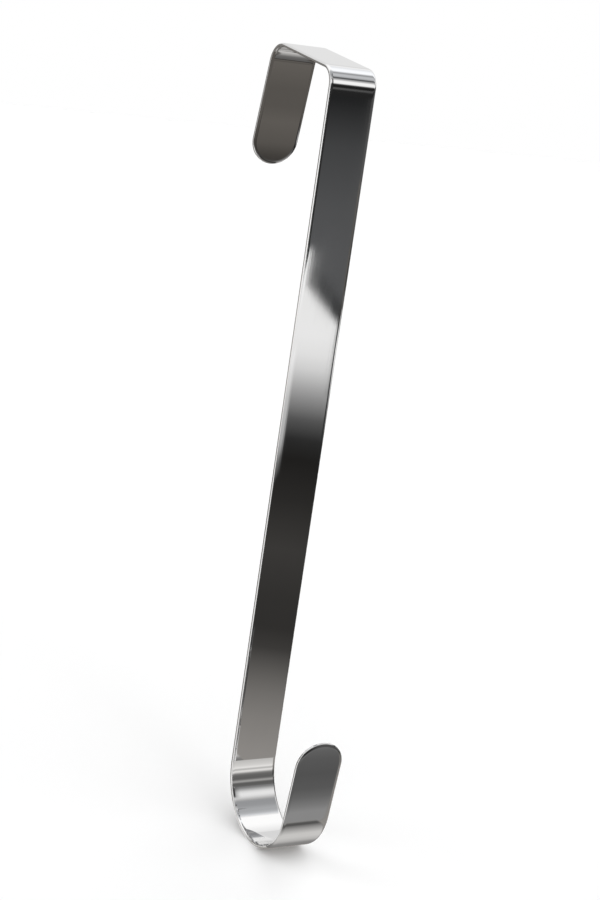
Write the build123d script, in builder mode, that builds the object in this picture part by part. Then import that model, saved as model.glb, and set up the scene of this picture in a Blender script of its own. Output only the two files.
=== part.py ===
from build123d import *
import math
import os

# Wreath hanger: one strip of polished steel, bent to hook over the top of a door.
# Seen from the side, from the back of the door to the front: a short back leg, a bridge
# over the door's top edge, a long flat shank down the door's face, and a round hook with
# an up-leg that carries the wreath.
#
# Frame: +Z up along the shank, -Y out of the door's face, X across the strip.
# Origin: centre of the bridge's underside, which hangs on the top edge of the door.

# Strip, in millimetres
strip_width = 20.0
strip_thickness = 1.6
edge_round = 0.7  # almost full round, as a tumbled edge is

# Bridge, measured between its two bends. It rises towards the back, because both of its
# bends have sprung open a little from square.
bridge_length = 35.0
bridge_rise = 6.5  # degrees from level

# Inside radius of each bend
rear_bend_inside = 7.5
front_bend_inside = 6.0
hook_inside = 22.8

# Straight runs. The two legs are measured to the centre of their round tips.
back_leg_run = 31.5
shank_run = 273.0
up_leg_run = 24.0

# Angles from the shank's direction, in degrees: the back leg spreads away from the door,
# and the up-leg opens the hook's mouth.
back_leg_spread = 10.0
up_leg_spread = 7.2

half_thickness = strip_thickness / 2
tip_radius = strip_width / 2

# Radius of each bend on the strip's centre line
rear_bend_radius = rear_bend_inside + half_thickness
front_bend_radius = front_bend_inside + half_thickness
hook_radius = hook_inside + half_thickness

# How far each bend turns the strip, in degrees
front_bend_turn = 90 - bridge_rise
rear_bend_turn = 90 + bridge_rise - back_leg_spread
hook_turn = 180 - up_leg_spread

# Side view of the strip: first axis Y, second axis Z. The centre line starts at the middle
# of the bridge, half a thickness above the origin, and is drawn out to both ends.
bridge_direction = Vector(1, 0).rotate(Axis.Z, bridge_rise)
bridge_normal = bridge_direction.rotate(Axis.Z, 90)
bridge_middle = bridge_normal * half_thickness
bridge_front = bridge_middle - bridge_direction * (bridge_length / 2)
bridge_back = bridge_middle + bridge_direction * (bridge_length / 2)

with BuildPart() as hanger_strip:
    with BuildSketch(Plane.YZ) as side_view:
        with BuildLine() as centre_line:
            bridge = Line(bridge_front, bridge_back)
            rear_bend = JernArc(bridge @ 1, bridge % 1, rear_bend_radius, -rear_bend_turn)
            back_leg = Line(rear_bend @ 1, rear_bend @ 1 + (rear_bend % 1) * back_leg_run)
            front_bend = JernArc(bridge @ 0, -(bridge % 0), front_bend_radius, front_bend_turn)
            shank = Line(front_bend @ 1, front_bend @ 1 + (front_bend % 1) * shank_run)
            hook_bend = JernArc(shank @ 1, shank % 1, hook_radius, -hook_turn)
            up_leg = Line(hook_bend @ 1, hook_bend @ 1 + (hook_bend % 1) * up_leg_run)
        trace(line_width=strip_thickness)
    extrude(amount=strip_width / 2, both=True)

    # Round tip on each leg: half a disc, in the plane of that leg, from where its run ends
    for leg in (back_leg, up_leg):
        leg_end = leg @ 1
        leg_direction = leg % 1
        tip_plane = Plane(
            origin=(0, leg_end.X, leg_end.Y),
            x_dir=(1, 0, 0),
            z_dir=(0, -leg_direction.Y, leg_direction.X),
        )
        with BuildSketch(tip_plane):
            with BuildLine():
                CenterArc((0, 0), tip_radius, 0, 180)
                Line((-tip_radius, 0), (tip_radius, 0))
            make_face()
        extrude(amount=half_thickness, both=True)

    # The strip's edges are rounded over, all along both sides and round both tips
    rims = hanger_strip.edges().filter_by(Axis.X, reverse=True)
    rims = rims.filter_by(lambda edge: edge.length > 1.5 * strip_thickness)
    fillet(rims, radius=edge_round)

hanger_strip.part.label = "hanger_strip"

os.makedirs("parts", exist_ok=True)
export_step(hanger_strip.part, "parts/hanger_strip.step")

# The strip's solid against its section times its length
strip_length = sum(run.length for run in centre_line.edges())
round_loss = (4 - math.pi) * edge_round**2
section_area = strip_width * strip_thickness - round_loss
box = hanger_strip.part.bounding_box()
print(f"centre line {strip_length:.2f} mm, tips {tip_radius} mm more at each end")
print(f"section times length {section_area * strip_length:.0f} mm3 and two tips")
print(f"solid {hanger_strip.part.volume:.0f} mm3, valid {hanger_strip.part.is_valid}")
print(f"x {box.min.X:.2f} to {box.max.X:.2f}")
print(f"y {box.min.Y:.2f} to {box.max.Y:.2f}")
print(f"z {box.min.Z:.2f} to {box.max.Z:.2f}")
for name, run in (("front bend end", front_bend), ("shank end", shank), ("hook end", hook_bend),
                  ("up leg end", up_leg), ("rear bend end", rear_bend), ("back leg end", back_leg)):
    print(f"{name}: y {(run @ 1).X:.3f}, z {(run @ 1).Y:.3f}")
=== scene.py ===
import math

import bpy
from mathutils import Matrix, Vector


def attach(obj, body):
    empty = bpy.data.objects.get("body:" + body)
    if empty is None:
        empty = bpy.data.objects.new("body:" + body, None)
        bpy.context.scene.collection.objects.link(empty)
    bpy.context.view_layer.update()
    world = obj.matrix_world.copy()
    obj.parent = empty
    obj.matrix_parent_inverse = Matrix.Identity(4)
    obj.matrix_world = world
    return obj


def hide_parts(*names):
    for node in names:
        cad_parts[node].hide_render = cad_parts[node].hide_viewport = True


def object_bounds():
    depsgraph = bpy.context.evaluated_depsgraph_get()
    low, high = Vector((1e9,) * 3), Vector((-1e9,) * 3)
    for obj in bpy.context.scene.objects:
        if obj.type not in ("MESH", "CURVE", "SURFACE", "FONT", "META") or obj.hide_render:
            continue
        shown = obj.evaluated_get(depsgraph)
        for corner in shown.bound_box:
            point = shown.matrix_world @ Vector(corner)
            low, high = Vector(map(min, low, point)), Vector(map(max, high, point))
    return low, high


# Wreath hanger: one polished steel strip bent to hook over a door.
# Metres, in the model's own frame: Z up the shank, -Y out of the door, X across the strip.

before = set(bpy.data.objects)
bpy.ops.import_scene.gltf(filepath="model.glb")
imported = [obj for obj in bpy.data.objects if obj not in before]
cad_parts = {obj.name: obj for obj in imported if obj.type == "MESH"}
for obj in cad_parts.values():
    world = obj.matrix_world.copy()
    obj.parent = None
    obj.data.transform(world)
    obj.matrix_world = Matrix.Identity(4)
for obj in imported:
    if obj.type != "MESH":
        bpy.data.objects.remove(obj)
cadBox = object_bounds()
print("frame loaded")


def addObject(name, data):
    obj = bpy.data.objects.new(name, data)
    bpy.context.scene.collection.objects.link(obj)
    return obj


# the steel strip

hangerStrip = {
    "width": 0.020,
    "thickness": 0.00158,
    "rimReach": 0.0014,         # how far each rounded edge comes in over the face
    "rimDrop": 0.00060,         # and how far it falls
    "backLegRun": 0.0315,       # to the centre of its round tip
    "bridgeRun": 0.035,
    "shankRun": 0.273,
    "upLegRun": 0.024,          # to the centre of its round tip
    "rearBendInside": 0.0075,
    "frontBendInside": 0.006,
    "hookInside": 0.0228,
    "bridgeRise": 6.5,          # degrees above level, towards the back
    "backLegSpread": 10.0,      # degrees away from the shank's line
    "upLegSpread": 7.2,
    "runStep": 0.008,           # spacing of the mesh along a straight run
    "bendStep": 1.5,            # degrees of bend in one mesh step
    "tipSteps": 28,             # mesh steps from a leg's side to the end of its tip
    "rimSteps": 12,             # mesh steps round each edge
}


def centreLine(strip):
    # walks the strip's centre line from the back leg's tip to the up-leg's tip
    # each station is (length so far, y, z, heading)
    half = strip["thickness"] / 2
    start = math.radians(90 + strip["backLegSpread"])
    bridgeHeading = math.radians(180 + strip["bridgeRise"])
    down = math.radians(270)
    end = math.radians(90 + strip["upLegSpread"])
    route = [
        ("run", strip["backLegRun"], 0),
        ("bend", bridgeHeading - start, strip["rearBendInside"] + half),
        ("run", strip["bridgeRun"], 0),
        ("bend", down - bridgeHeading, strip["frontBendInside"] + half),
        ("run", strip["shankRun"], 0),
        ("bend", end - down, strip["hookInside"] + half),
        ("run", strip["upLegRun"], 0),
    ]
    length, y, z, heading = 0.0, 0.0, 0.0, start
    stations = [(length, y, z, heading)]
    for kind, amount, radius in route:
        if kind == "run":
            steps = max(1, round(amount / strip["runStep"]))
            step, turn = amount / steps, 0.0
        else:
            steps = max(1, round(abs(math.degrees(amount)) / strip["bendStep"]))
            turn = amount / steps
            step = radius * abs(turn)
        chord = 2 * radius * math.sin(abs(turn) / 2) if turn else step
        for i in range(steps):
            y += chord * math.cos(heading + turn / 2)
            z += chord * math.sin(heading + turn / 2)
            length += step
            heading += turn
            stations.append((length, y, z, heading))
    # the middle of the bridge's underside comes to the origin
    bridgeStart = strip["backLegRun"] + (strip["rearBendInside"] + half) * (bridgeHeading - start)
    bridgeMiddle = bridgeStart + strip["bridgeRun"] / 2
    atY, atZ = pointAt(stations, bridgeMiddle)[:2]
    rise = math.radians(strip["bridgeRise"])
    moveY = -math.sin(rise) * half - atY
    moveZ = math.cos(rise) * half - atZ
    return [(s, y + moveY, z + moveZ, h) for s, y, z, h in stations]


def pointAt(stations, length):
    # place and heading on the centre line, straight on past either end
    if length <= stations[0][0]:
        s, y, z, h = stations[0]
    elif length >= stations[-1][0]:
        s, y, z, h = stations[-1]
    else:
        i = next(i for i in range(1, len(stations)) if stations[i][0] >= length)
        s0, y0, z0, h0 = stations[i - 1]
        s1, y1, z1, h1 = stations[i]
        t = (length - s0) / (s1 - s0)
        return y0 + (y1 - y0) * t, z0 + (z1 - z0) * t, h0 + (h1 - h0) * t
    return y + math.cos(h) * (length - s), z + math.sin(h) * (length - s), h


def blankOutline(strip, stations):
    # the flat blank before bending: (centre along it, radius angle) for each station,
    # the angle is 90 degrees at a tip's end and 0 along the straight sides
    steps = strip["tipSteps"]
    end = stations[-1][0]
    backTip = [(0.0, -math.radians(90 * (1 - i / steps))) for i in range(steps)]
    sides = [(station[0], 0.0) for station in stations]
    hookTip = [(end, math.radians(90 * i / steps)) for i in range(1, steps + 1)]
    return backTip + sides + hookTip


def rimProfile(strip):
    # the rim's section, a quarter ellipse on each side: (inset from the outline, height, tilt)
    half, reach, drop = strip["thickness"] / 2, strip["rimReach"], strip["rimDrop"]
    steps = strip["rimSteps"]
    profile = []
    for side in (1, -1):
        for i in range(steps + 1):
            a = math.radians(90 * (i / steps if side < 0 else 1 - i / steps))
            inset = reach * (1 - math.cos(a))
            height = side * (half - drop + drop * math.sin(a))
            tilt = side * math.atan2(reach * math.sin(a), drop * math.cos(a))
            profile.append((inset, height, tilt))
    return profile


def makeHangerStrip(strip):
    stations = centreLine(strip)
    outline = blankOutline(strip, stations)
    profile = rimProfile(strip)
    radius = strip["width"] / 2
    verts, normals, flat, rings = [], [], [], []

    def place(x, along, height, outX, outAlong, tilt):
        y, z, heading = pointAt(stations, along)
        tangent = Vector((0, math.cos(heading), math.sin(heading)))
        doorSide = Vector((0, -math.sin(heading), math.cos(heading)))
        point = Vector((x, y, z)) + doorSide * height
        outward = Vector((outX, 0, 0)) + tangent * outAlong
        verts.append(point)
        normals.append(outward * math.cos(tilt) + doorSide * math.sin(tilt))
        flat.append((x, along))
        return len(verts) - 1

    for centre, angle in outline:
        atTip = abs(abs(angle) - math.pi / 2) < 1e-9
        pair = []
        for side in (-1, 1):
            if side > 0 and atTip:
                pair.append(pair[0])
                break
            ring = []
            for inset, height, tilt in profile:
                r = radius - inset
                x = 0.0 if atTip else side * r * math.cos(angle)
                outX = 0.0 if atTip else side * math.cos(angle)
                ring.append(place(x, centre + r * math.sin(angle), height, outX, math.sin(angle), tilt))
            pair.append(ring)
        rings.append(pair)

    faces = []
    last = len(profile) - 1
    for a, b in zip(rings, rings[1:]):
        for side in (0, 1):
            for k in range(last):
                quad = [a[side][k], b[side][k], b[side][k + 1], a[side][k + 1]]
                faces.append(quad[::-1] if side else quad)
        for k in (0, last):
            quad = [a[0][k], b[0][k], b[1][k], a[1][k]]
            quad = [v for i, v in enumerate(quad) if v not in quad[:i]]
            faces.append(quad[::-1] if k == 0 else quad)

    mesh = bpy.data.meshes.new("polishedStrip")
    mesh.from_pydata(verts, [], faces)
    mesh.polygons.foreach_set("use_smooth", [True] * len(mesh.polygons))
    unrolled = mesh.uv_layers.new(name="unrolled")     # the strip laid flat, in metres
    for loop in mesh.loops:
        unrolled.data[loop.index].uv = flat[loop.vertex_index]
    mesh.normals_split_custom_set_from_vertices(normals)
    mesh.update()
    return addObject("polishedStrip", mesh)


polishedStrip = makeHangerStrip(hangerStrip)
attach(polishedStrip, "root")
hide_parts("hanger_strip")
print("strip made")


# camera, at the picture's angle

pictureCamera = {
    "azimuth": -29.93,
    "elevation": 14.50,
    "roll": -8.39,
    "distance": 0.7050,
    "aim": (0.0, -0.0242, -0.1484),
    "lens": 72.05,
}


def awayAt(azimuth, elevation):
    # the point one metre from the origin at these degrees, with azimuth 0 at the front
    a, e = math.radians(azimuth), math.radians(elevation)
    return Vector((math.sin(a) * math.cos(e), -math.cos(a) * math.cos(e), math.sin(e)))


def makeCamera(view):
    back = awayAt(view["azimuth"], view["elevation"])
    data = bpy.data.cameras.new("pictureCamera")
    data.lens = view["lens"]
    camera = addObject("pictureCamera", data)
    roll = Matrix.Rotation(math.radians(-view["roll"]), 3, "Z")
    turn = back.to_track_quat("Z", "Y").to_matrix() @ roll
    place = Vector(view["aim"]) + back * view["distance"]
    camera.matrix_world = Matrix.Translation(place) @ turn.to_4x4()
    bpy.context.scene.camera = camera


makeCamera(pictureCamera)
print("camera set")


# node helpers for the materials

def newMaterial(name):
    material = bpy.data.materials.new(name)
    material.use_nodes = True
    material.node_tree.nodes.clear()
    return material, material.node_tree


def mathNode(tree, operation, a, b=None):
    node = tree.nodes.new("ShaderNodeMath")
    node.operation = operation
    for socket, value in zip(node.inputs, (a, b)):
        if isinstance(value, (int, float)):
            socket.default_value = value
        elif value is not None:
            tree.links.new(value, socket)
    return node.outputs[0]


def softStep(tree, value, start, end):
    # 0 up to start, 1 from end on
    node = tree.nodes.new("ShaderNodeMapRange")
    node.interpolation_type = "SMOOTHSTEP"
    tree.links.new(value, node.inputs["Value"])
    node.inputs["From Min"].default_value = start
    node.inputs["From Max"].default_value = end
    return node.outputs[0]


def rampNode(tree, value, stops):
    # stops are (place from 0 to 1, colour)
    node = tree.nodes.new("ShaderNodeValToRGB")
    elements = node.color_ramp.elements
    while len(elements) < len(stops):
        elements.new(0.5)
    for element, (place, colour) in zip(elements, stops):
        element.position = place
        element.color = (*colour, 1)
    tree.links.new(value, node.inputs[0])
    return node.outputs[0]


def mixShaders(tree, amount, first, second):
    node = tree.nodes.new("ShaderNodeMixShader")
    for socket, source in zip(node.inputs, (amount, first.outputs[0], second.outputs[0])):
        tree.links.new(source, socket)
    return node


def toSurface(tree, shader):
    output = tree.nodes.new("ShaderNodeOutputMaterial")
    tree.links.new(shader.outputs[0], output.inputs["Surface"])


def seenInSteel(tree, rays):
    # 1 for a ray that comes off the steel
    return mathNode(tree, "MAXIMUM", rays.outputs["Is Glossy Ray"], rays.outputs["Is Transmission Ray"])


# the finish: mirror-polished steel, with faint polishing lines along the strip

polishedSteel = {
    "colour": (0.755, 0.752, 0.750),
    "dullColour": (0.725, 0.720, 0.716),
    "mirror": 0.030,                # roughness of the clean faces
    "handled": 0.075,               # and where it was handled most
    "rimRoughness": 0.15,
    "rimStart": (0.0090, 0.0098),   # from the strip's middle, fading in
    "hazeSize": (0.030, 0.090),     # across the strip and along it
    "hazeCover": (0.45, 0.75),      # where in the noise it starts, and is full
    "lineSize": (0.00025, 0.040),   # one polishing line
    "lineCover": (0.60, 0.72),
    "lineRoughness": 0.02,          # more than the clean faces have
    "lineDepth": 0.0000006,
    "waveSize": (0.045, 0.072),
    "waveDepth": 0.0000100,
}


def makePolishedSteel(finish):
    material, tree = newMaterial("polishedSteel")
    links = tree.links
    unrolled = tree.nodes.new("ShaderNodeUVMap")
    unrolled.uv_map = "unrolled"

    def stripNoise(size, detail):
        # noise with grains of this size across the strip and along it
        width, length = size
        stretch = tree.nodes.new("ShaderNodeMapping")
        stretch.inputs["Scale"].default_value = (1 / width, 1 / length, 1)
        links.new(unrolled.outputs[0], stretch.inputs[0])
        noise = tree.nodes.new("ShaderNodeTexNoise")
        noise.inputs["Scale"].default_value = 1.0
        noise.inputs["Detail"].default_value = detail
        links.new(stretch.outputs[0], noise.inputs["Vector"])
        return noise.outputs["Fac"]

    across = tree.nodes.new("ShaderNodeSeparateXYZ")
    links.new(unrolled.outputs[0], across.inputs[0])
    fromMiddle = mathNode(tree, "ABSOLUTE", across.outputs["X"])
    onRim = softStep(tree, fromMiddle, *finish["rimStart"])
    haze = softStep(tree, stripNoise(finish["hazeSize"], 4), *finish["hazeCover"])
    lines = stripNoise(finish["lineSize"], 2)
    waves = stripNoise(finish["waveSize"], 1)

    steel = tree.nodes.new("ShaderNodeBsdfPrincipled")
    steel.inputs["Metallic"].default_value = 1.0
    colour = rampNode(tree, haze, [(0, finish["colour"]), (1, finish["dullColour"])])
    links.new(colour, steel.inputs["Base Color"])

    scratched = softStep(tree, lines, *finish["lineCover"])
    roughness = mathNode(tree, "MULTIPLY_ADD", scratched, finish["lineRoughness"])
    roughness.node.inputs[2].default_value = finish["mirror"]
    worn = mathNode(tree, "MULTIPLY", onRim, finish["rimRoughness"] - finish["mirror"])
    hazy = mathNode(tree, "MULTIPLY", haze, finish["handled"] - finish["mirror"])
    roughness = mathNode(tree, "ADD", mathNode(tree, "ADD", roughness, hazy), worn)
    links.new(roughness, steel.inputs["Roughness"])

    height = mathNode(tree, "MULTIPLY", lines, finish["lineDepth"])
    height = mathNode(tree, "ADD", height, mathNode(tree, "MULTIPLY", waves, finish["waveDepth"]))
    bump = tree.nodes.new("ShaderNodeBump")
    bump.inputs["Strength"].default_value = 1.0
    bump.inputs["Distance"].default_value = 1.0
    links.new(height, bump.inputs["Height"])
    links.new(bump.outputs[0], steel.inputs["Normal"])
    toSurface(tree, steel)
    return material


polishedStrip.data.materials.append(makePolishedSteel(polishedSteel))
print("steel finished")


# studio: white floor and surroundings, with the flags and softboxes that the steel mirrors, and cards
# close to the strip that paint its reflected highlights and shade

studio = {
    "floorReach": 3.0,
    "floorGap": 0.0001,         # under the hook
    "floorTone": 0.95,          # how much of the light on it the floor gives back
    "surround": 1.0,            # the white seen by the camera
    "mirroredSurround": 0.88,   # and in the steel
    "fill": 0.10,               # and what of it lights the floor
    "sunStrength": 2.85,
    "sunAngle": 120,            # very wide, so that the shadow is soft
    "sunElevation": 28,
    "sunAzimuths": (74, -62),   # one low on each side of the front
}

neutral = (1.0, 1.0, 1.0)
cool = (0.98, 1.0, 1.03)
ivory = (1.0, 0.985, 0.965)
warm = (1.0, 0.955, 0.905)
brown = (1.0, 0.92, 0.83)

# each way that a card can face: its right and its rise, as the strip sees it
cardFacings = {
    "front": (Vector((-1, 0, 0)), Vector((0, 0, 1))),
    "back": (Vector((1, 0, 0)), Vector((0, 0, 1))),
    "side": (Vector((0, -1, 0)), Vector((0, 0, 1))),
    "floor": (Vector((-1, 0, 0)), Vector((0, -1, 0))),
    "ceiling": (Vector((1, 0, 0)), Vector((0, -1, 0))),
}

# each card's middle, size and place round the strip, its tones from foot to top or outwards
# from a centre, with a tint of their own where they differ, and how far its borders fade
# (left, right, foot, top)
studioCards = {
    # round the whole strip
    "frontSoftbox": {
        "middle": (0.30, -0.60, 0.2285), "size": (1.6, 0.543), "place": "front",
        "tones": [(0, 0.16), (0.11, 0.30), (0.2, 0.55), (0.3, 0.88), (0.42, 1.03), (0.55, 1.0),
                  (0.7, 0.80), (0.87, 0.54), (1, 0.42)],
        "tint": neutral, "fade": (0.05, 0.05, 0.002, 0.02),
    },
    "ceilingBoard": {
        "middle": (0.30, -0.60, 1.0), "size": (2.4, 1.0), "place": "ceiling",
        "tones": [(0, 1.0), (0.04, 0.87), (0.14, 0.60), (0.24, 0.515), (0.34, 0.515), (0.45, 0.46),
                  (0.56, 0.406), (0.8, 0.39), (0.95, 0.52), (1, 0.54)],
        "tint": cool, "fade": (0.1, 0.1, 0.02, 0.02),
    },
    "overheadSoftbox": {
        "middle": (0.30, 0.51, 0.98), "size": (2.4, 1.3), "place": "ceiling",
        "tones": [(0, 0.95), (0.2, 1.1), (0.35, 1.16), (0.47, 1.24), (0.6, 1.3), (1, 1.3)],
        "tint": neutral, "fade": (0.1, 0.1, 0.05, 0.12),
    },
    "upperFlag": {
        "middle": (0.25, -0.92, 0.015), "size": (0.90, 0.17), "place": "front",
        "tones": [(0, 0.018), (1, 0.024)], "tint": neutral, "fade": (0.02, 0.02, 0.001, 0.03),
    },
    "lowerFlag": {
        "middle": (0.25, -0.925, -0.160), "size": (0.90, 0.19), "place": "front",
        "tones": [(0, 0.117), (0.4, 0.105), (0.72, 0.070), (0.95, 0.021)], "tint": cool,
        "fade": (0.02, 0.02, 0.006, 0.001),
    },
    "edgeLineFlag": {
        "middle": (-0.06, -0.89, -0.064), "size": (0.72, 0.288), "place": "front",
        "tones": [(0, 0.03), (1, 0.02)], "tint": neutral, "fade": (0.06, 0.04, 0.006, 0.02),
    },
    # painted highlight: a glowing card seen only in the steel, which paints the white wedge by the
    # shank's edge
    "edgeWedgeHighlight": {
        "middle": (0.1357, -0.905, -0.235), "size": (0.7114, 0.054), "place": "front",
        "tones": [(0, 1.12), (1, 1.10)], "tint": neutral, "fade": (0.006, 0.02, 0.004, 0.012),
    },
    "edgeGlow": {
        "middle": (-0.0124, -0.100, -0.152), "size": (0.0952, 0.068), "place": "front",
        "tones": [(0.04, 0.04), (0.18, 0.20), (0.25, 0.42), (0.325, 0.55), (0.456, 0.60),
                  (0.587, 0.66), (0.70, 0.85), (0.844, 1.05), (1, 1.10)],
        "tint": neutral, "fade": (0.0014, 0.01, 0.006, 0.01),
    },
    "slantFlag": {
        "middle": (0.597, -0.915, -0.3035), "size": (0.30, 0.07), "place": "front", "turn": 42.5,
        "tones": [(0, 0.054), (0.2, 0.056), (0.265, 0.068), (0.33, 0.10), (0.45, 0.115), (1, 0.117)],
        "tint": cool, "fade": (0.02, 0.02, 0.0095, 0.03),
    },
    "edgeFlag": {
        "middle": (0.806, -0.70, -0.132), "size": (0.80, 0.344), "place": "front",
        "tones": [(0, 0.020), (0.2, 0.020), (0.26, 0.13), (0.6, 0.10), (0.85, 0.05), (1, 0.04)],
        "tint": neutral, "fade": (0.1, 0.004, 0.001, 0.02),
    },
    "sideFlag": {
        "middle": (1.0, -0.10, -0.05), "size": (1.2, 0.50), "place": "side",
        "tones": [(0, 0.04), (0.25, 0.10), (0.5, 0.12), (0.7, 0.05), (1, 0.05)], "tint": neutral,
        "fade": (0.1, 0.1, 0.02, 0.08),
    },
    "rimShade": {
        "middle": (0.60, -0.687, -0.3045), "size": (0.30, 0.55), "place": "floor", "turn": 32,
        "tones": [(0, 0.03), (1, 0.03)], "tint": neutral, "fade": (0.06, 0.006, 0.06, 0.05),
    },
    "floorShade": {
        "middle": (0.428, -0.676, -0.3048), "size": (1.3, 1.6), "place": "floor", "turn": -22,
        "round": {"centre": (0, -0.0243, -0.3048), "reach": 1.2},
        "tones": [(0.05, 0.34), (0.083, 0.28), (0.108, 0.215), (0.137, 0.125), (0.16, 0.058),
                  (0.185, 0.039), (0.225, 0.041), (0.3, 0.055), (0.39, 0.030), (0.48, 0.018),
                  (0.53, 0.030, neutral), (0.585, 0.115, neutral), (0.646, 0.34, neutral),
                  (0.68, 0.49, neutral), (0.745, 0.82, neutral), (0.80, 0.98, neutral),
                  (0.88, 1.06, neutral)],
        "tint": warm, "fade": (0.1, 0.012, 0.05, 0.1),
    },
    "leftSoftbox": {
        "middle": (-0.90, -0.90, 0.0), "size": (1.4, 0.60), "place": "front",
        "tones": [(0, 1.3), (1, 1.3)], "tint": neutral, "fade": (0.1, 0.1, 0.02, 0.1),
    },
    "brownWall": {
        "middle": (-0.75, 0.60, -0.06), "size": (1.8, 0.44), "place": "back",
        "tones": [(0, 0.36), (0.16, 0.38), (0.3, 0.16), (0.41, 0.12), (0.52, 0.24), (1, 0.30)],
        "tint": warm, "fade": (0.1, 0.05, 0.01, 0.05),
    },
    "brownFloor": {
        "middle": (-0.73, 0.6875, -0.3046), "size": (1.48, 1.465), "place": "floor",
        "round": {"centre": (0, -0.0243, -0.3046), "reach": 1.2},
        "tones": [(0.05, 0.29), (0.15, 0.24), (0.30, 0.17), (0.45, 0.20), (0.60, 0.33), (0.75, 0.52),
                  (1, 0.62)],
        "tint": warm, "fade": (0.02, 0.1, 0.1, 0.015),
    },
    # under the hook's left edge
    "footGlow": {
        "middle": (-0.0150, -0.0310, -0.30455), "size": (0.0100, 0.044), "place": "floor",
        "tones": [(0, 0.80), (0.3, 0.95), (0.8, 1.05), (1, 0.90)], "tint": ivory,
        "fade": (0.0004, 0.003, 0.006, 0.004),
    },
    # behind the strip, on the side of its right edge: painted shade on the floor as the steel mirrors
    # it, dark round the strip's foot and lighter further out
    "rearFloorShade": {
        "middle": (0.80, 0.88, -0.3047), "size": (1.6, 1.6), "place": "floor",
        "round": {"centre": (0, -0.0243, -0.3047), "reach": 1.2},
        "tones": [(0.08, 0.30), (0.15, 0.12), (0.25, 0.07), (0.42, 0.06), (0.55, 0.20), (0.70, 0.55),
                  (0.85, 0.85), (1, 0.95)],
        "tint": neutral, "fade": (0.1, 0.03, 0.1, 0.06),
    },
    # close to the front bend: painted reflections, cards seen only in the steel that paint the bend's
    # bright bands and dark lines; the flag in front is dark at its foot and glows above
    "bendReflectionCard": {
        "middle": (0.069, -0.039, 0.060), "size": (0.102, 0.138), "place": "ceiling",
        "tones": [(0, 1.0), (0.15, 1.08), (0.25, 1.28), (0.38, 1.33), (0.44, 0.76), (0.495, 0.33),
                  (0.55, 0.60), (0.616, 0.70), (0.68, 0.66), (0.75, 0.52), (0.82, 0.12), (0.87, 0.10),
                  (0.94, 0.26), (1, 0.6)],
        "tint": cool, "fade": (0.002, 0.01, 0.01, 0.004),
    },
    "bendFlagAndHighlight": {
        "middle": (0.045, -0.100, 0.01575), "size": (0.15, 0.0645), "place": "front",
        "tones": [(0.02, 0.021), (0.041, 0.022), (0.046, 0.125), (0.052, 0.115), (0.058, 0.007),
                  (0.085, 0.015), (0.245, 0.022), (0.30, 0.06), (0.366, 0.28), (0.46, 1.15),
                  (0.626, 1.2), (0.78, 1.2), (0.93, 0.80), (1, 0.45)],
        "tint": neutral, "fade": (0.01, 0.01, 0.0008, 0.002),
    },
    "bendEdgeFlag": {
        "middle": (0.0085, -0.098, 0.0160), "size": (0.037, 0.064), "place": "front",
        "tones": [(0, 0.03), (1, 0.03)], "tint": neutral, "fade": (0.002, 0.012, 0.001, 0.002),
    },
    "bendEdgeCard": {
        "middle": (0.0145, -0.077, 0.058), "size": (0.013, 0.062), "place": "ceiling",
        "tones": [(0, 0.04), (1, 0.03)], "tint": neutral, "fade": (0.003, 0.004, 0.01, 0.004),
    },
    # close to the back leg and its bend: painted reflections, seen only in the steel: a light card
    # grading to dark under the rear bend, and dim brown cards that paint the back leg's dark
    # reflections and rims
    "rearBendReflectionCard": {
        "middle": (0.0765, -0.015, -0.100), "size": (0.06, 0.130), "place": "floor", "turn": 5,
        "tones": [(0, 0.80), (0.11, 0.72), (0.33, 0.46), (0.544, 0.195), (0.79, 0.145), (1, 0.14)],
        "tint": ivory, "fade": (0.004, 0.002, 0.01, 0.001),
    },
    "backLegEdgeCard": {
        "middle": (-0.0263, 0.015, -0.0315), "size": (0.0475, 0.057), "place": "front",
        "tones": [(0, 0.06), (0.26, 0.07), (0.5, 0.13), (1, 0.12)], "tint": brown,
        "fade": (0.001, 0.01, 0.006, 0.004),
    },
    "backLegSideCard": {
        "middle": (0.030, 0.0325, -0.020), "size": (0.075, 0.040), "place": "side",
        "tones": [(0, 0.09), (0.4, 0.13), (1, 0.12)], "tint": brown,
        "fade": (0.01, 0.004, 0.003, 0.004),
    },
    "backLegLowSideCard": {
        "middle": (0.0302, 0.0495, -0.047), "size": (0.041, 0.030), "place": "side",
        "tones": [(0, 0.07), (1, 0.10)], "tint": brown, "fade": (0.01, 0.004, 0.006, 0.004),
    },
    "backLegFlag": {
        "middle": (0.0745, -0.100, -0.084), "size": (0.040, 0.068), "place": "front",
        "tones": [(0.04, 0.04), (0.11, 0.045), (0.19, 0.08), (0.27, 0.12), (0.44, 0.145),
                  (0.56, 0.12), (0.70, 0.12), (0.9, 0.155)],
        "tint": brown, "fade": (0.004, 0.001, 0.004, 0.004),
    },
    # close to the hook and the up-leg: painted reflections, cards seen only in the steel
    # painted reflection: a small card inside the hook, glowing and dark in bands, which paints the
    # hook's highlights and dark lines
    "hookReflectionCard": {
        "middle": (0.00075, -0.0295, -0.2866), "size": (0.0255, 0.0068), "place": "front",
        "tones": [(0, 0.17), (0.08, 0.14), (0.14, 0.14), (0.18, 0.21), (0.215, 0.42), (0.26, 0.42),
                  (0.30, 0.22), (0.35, 0.147), (0.45, 0.165), (0.49, 0.20), (0.53, 0.30),
                  (0.56, 0.55), (0.595, 0.94), (0.63, 0.95), (0.66, 0.60), (0.69, 0.68),
                  (0.725, 1.03), (0.76, 0.91), (0.80, 0.82), (0.91, 0.70), (1, 0.62)],
        "tint": ivory, "fade": (0.0015, 0.0015, 0.0003, 0.0003),
    },
    "hookEdgeFlag": {
        "middle": (-0.0075, -0.0325, -0.2900), "size": (0.009, 0.0036), "place": "front",
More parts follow.
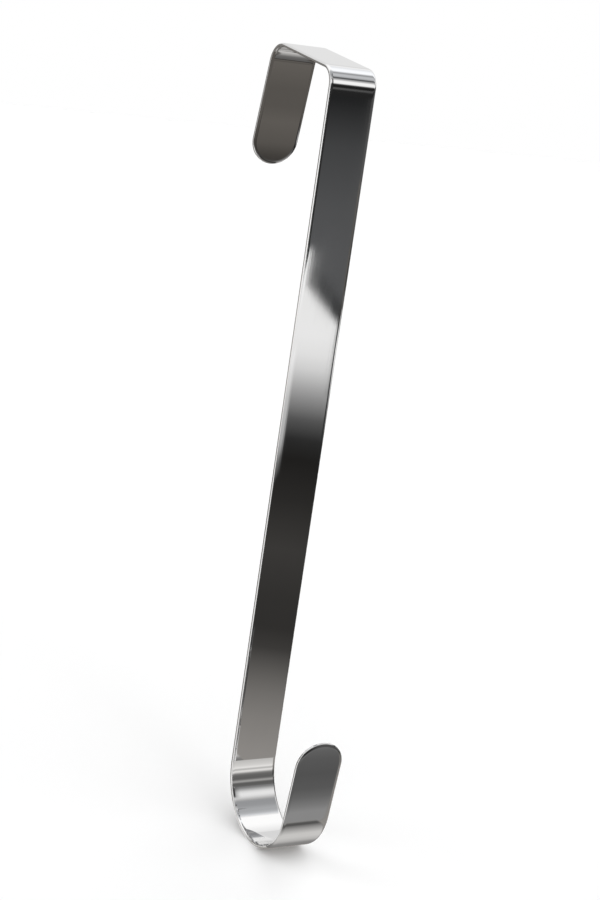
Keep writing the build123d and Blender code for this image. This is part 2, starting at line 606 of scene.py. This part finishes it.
        "tones": [(0, 0.04), (1, 0.04)], "tint": neutral, "fade": (0.0055, 0.001, 0.0012, 0.0008),
    },
    "legFlag": {
        "middle": (0.0, -0.086, -0.2745), "size": (0.042, 0.059), "place": "front",
        "tones": [(0, 0.32), (0.17, 0.32), (0.22, 0.25), (0.296, 0.17), (0.37, 0.127), (0.5, 0.11),
                  (0.63, 0.125), (0.70, 0.15), (0.735, 0.19), (0.765, 0.10), (1, 0.10)],
        "tint": neutral, "fade": (0.003, 0.002, 0.001, 0.003),
    },
    "tipFlag": {
        "middle": (-0.008, -0.0855, -0.252), "size": (0.026, 0.0138), "place": "front",
        "tones": [(0, 0.03), (1, 0.03)], "tint": neutral, "fade": (0.012, 0.002, 0.0008, 0.003),
    },
    # painted shade: the floor's contact shadow under the hook as the steel mirrors it, dark next to the
    # hook, lighter beyond, with a dark line further out
    "underHookShade": {
        "middle": (-0.0066, -0.07275, -0.300), "size": (0.0468, 0.0295), "place": "floor",
        "tones": [(0.1, 0.20), (0.2, 0.29), (0.27, 0.60), (0.356, 0.745), (0.444, 0.74), (0.54, 0.54),
                  (0.647, 0.344), (0.769, 0.11), (0.847, 0.13), (0.92, 0.32)],
        "tint": ivory, "fade": (0.002, 0.004, 0.002, 0.0008),
    },
}


def makeCardMaterial(name, card):
    # a soft-bordered card of plain light, its tone running from foot to top, or outwards
    # from a centre; its back is clear
    material, tree = newMaterial(name)
    place = tree.nodes.new("ShaderNodeUVMap")
    place.uv_map = "card"
    split = tree.nodes.new("ShaderNodeSeparateXYZ")
    tree.links.new(place.outputs[0], split.inputs[0])
    geometry = tree.nodes.new("ShaderNodeNewGeometry")
    u, v = split.outputs["X"], split.outputs["Y"]
    width, height = card["size"]
    left, right, foot, top = card["fade"]
    cover = mathNode(tree, "SUBTRACT", 1.0, geometry.outputs["Backfacing"])
    for value, start, end in (
        (u, 0, left), (u, width, width - right), (v, 0, foot), (v, height, height - top),
    ):
        cover = mathNode(tree, "MULTIPLY", cover, softStep(tree, value, start, end))
    if "round" in card:
        away = tree.nodes.new("ShaderNodeVectorMath")
        away.operation = "DISTANCE"
        tree.links.new(geometry.outputs["Position"], away.inputs[0])
        away.inputs[1].default_value = card["round"]["centre"]
        along = mathNode(tree, "DIVIDE", away.outputs["Value"], card["round"]["reach"])
    else:
        along = mathNode(tree, "DIVIDE", v, height)
    stops = []
    for at, tone, *own in card["tones"]:
        tint = own[0] if own else card["tint"]
        stops.append((at, [tone * t for t in tint]))
    light = tree.nodes.new("ShaderNodeEmission")
    tree.links.new(rampNode(tree, along, stops), light.inputs["Color"])
    clear = tree.nodes.new("ShaderNodeBsdfTransparent")
    toSurface(tree, mixShaders(tree, cover, clear, light))
    return material


def makeCard(name, card):
    width, height = card["size"]
    right, rise = cardFacings[card["place"]]
    turn = Matrix.Rotation(math.radians(card.get("turn", 0)), 3, right.cross(rise))
    right, rise = turn @ right, turn @ rise
    middle = Vector(card["middle"])
    corners = [(0, 0), (width, 0), (width, height), (0, height)]
    mesh = bpy.data.meshes.new(name)
    verts = [middle + right * (u - width / 2) + rise * (v - height / 2) for u, v in corners]
    mesh.from_pydata(verts, [], [(0, 1, 2, 3)])
    layer = mesh.uv_layers.new(name="card")
    for loop in mesh.loops:
        layer.data[loop.index].uv = corners[loop.vertex_index]
    mesh.materials.append(makeCardMaterial(name, card))
    obj = addObject(name, mesh)
    # only mirrored, never seen or lighting the floor
    obj.visible_camera = False
    obj.visible_diffuse = False
    obj.visible_transmission = False
    obj.visible_volume_scatter = False
    obj.visible_shadow = False


def makeFloor(setup, hookBottom):
    material, tree = newMaterial("whiteFloor")
    rays = tree.nodes.new("ShaderNodeLightPath")
    tone = setup["floorTone"]
    matte = tree.nodes.new("ShaderNodeBsdfDiffuse")
    matte.inputs["Color"].default_value = (tone, tone, tone, 1)
    white = tree.nodes.new("ShaderNodeEmission")
    white.inputs["Strength"].default_value = setup["surround"]
    toSurface(tree, mixShaders(tree, seenInSteel(tree, rays), matte, white))
    reach = setup["floorReach"]
    level = hookBottom - setup["floorGap"]
    mesh = bpy.data.meshes.new("whiteFloor")
    corners = [(-reach, -reach), (reach, -reach), (reach, reach), (-reach, reach)]
    mesh.from_pydata([(x, y, level) for x, y in corners], [], [(0, 1, 2, 3)])
    mesh.materials.append(material)
    addObject("whiteFloor", mesh)


def makeLights(setup):
    # the world shows white to the camera, nearly white in the steel, and fills the floor
    world = bpy.data.worlds.new("whiteSurround")
    bpy.context.scene.world = world
    world.use_nodes = True
    tree = world.node_tree
    background = tree.nodes["Background"]
    background.inputs["Color"].default_value = (1, 1, 1, 1)
    rays = tree.nodes.new("ShaderNodeLightPath")
    fill = setup["fill"]
    seen = mathNode(tree, "MULTIPLY", rays.outputs["Is Camera Ray"], setup["surround"] - fill)
    mirrored = mathNode(tree, "MULTIPLY", seenInSteel(tree, rays), setup["mirroredSurround"] - fill)
    strength = mathNode(tree, "ADD", mathNode(tree, "ADD", seen, mirrored), fill)
    tree.links.new(strength, background.inputs["Strength"])
    for azimuth in setup["sunAzimuths"]:
        data = bpy.data.lights.new("sideSun", "SUN")
        data.energy = setup["sunStrength"]
        data.angle = math.radians(setup["sunAngle"])
        lamp = addObject("sideSun", data)
        lamp.location = awayAt(azimuth, setup["sunElevation"])
        lamp.rotation_euler = lamp.location.to_track_quat("Z", "Y").to_euler()
        lamp.visible_glossy = False     # the steel mirrors the softboxes in their place


makeFloor(studio, cadBox[0][2])
makeLights(studio)
for name, card in studioCards.items():
    makeCard(name, card)
bpy.context.scene.view_settings.view_transform = "Standard"
print("studio lit")
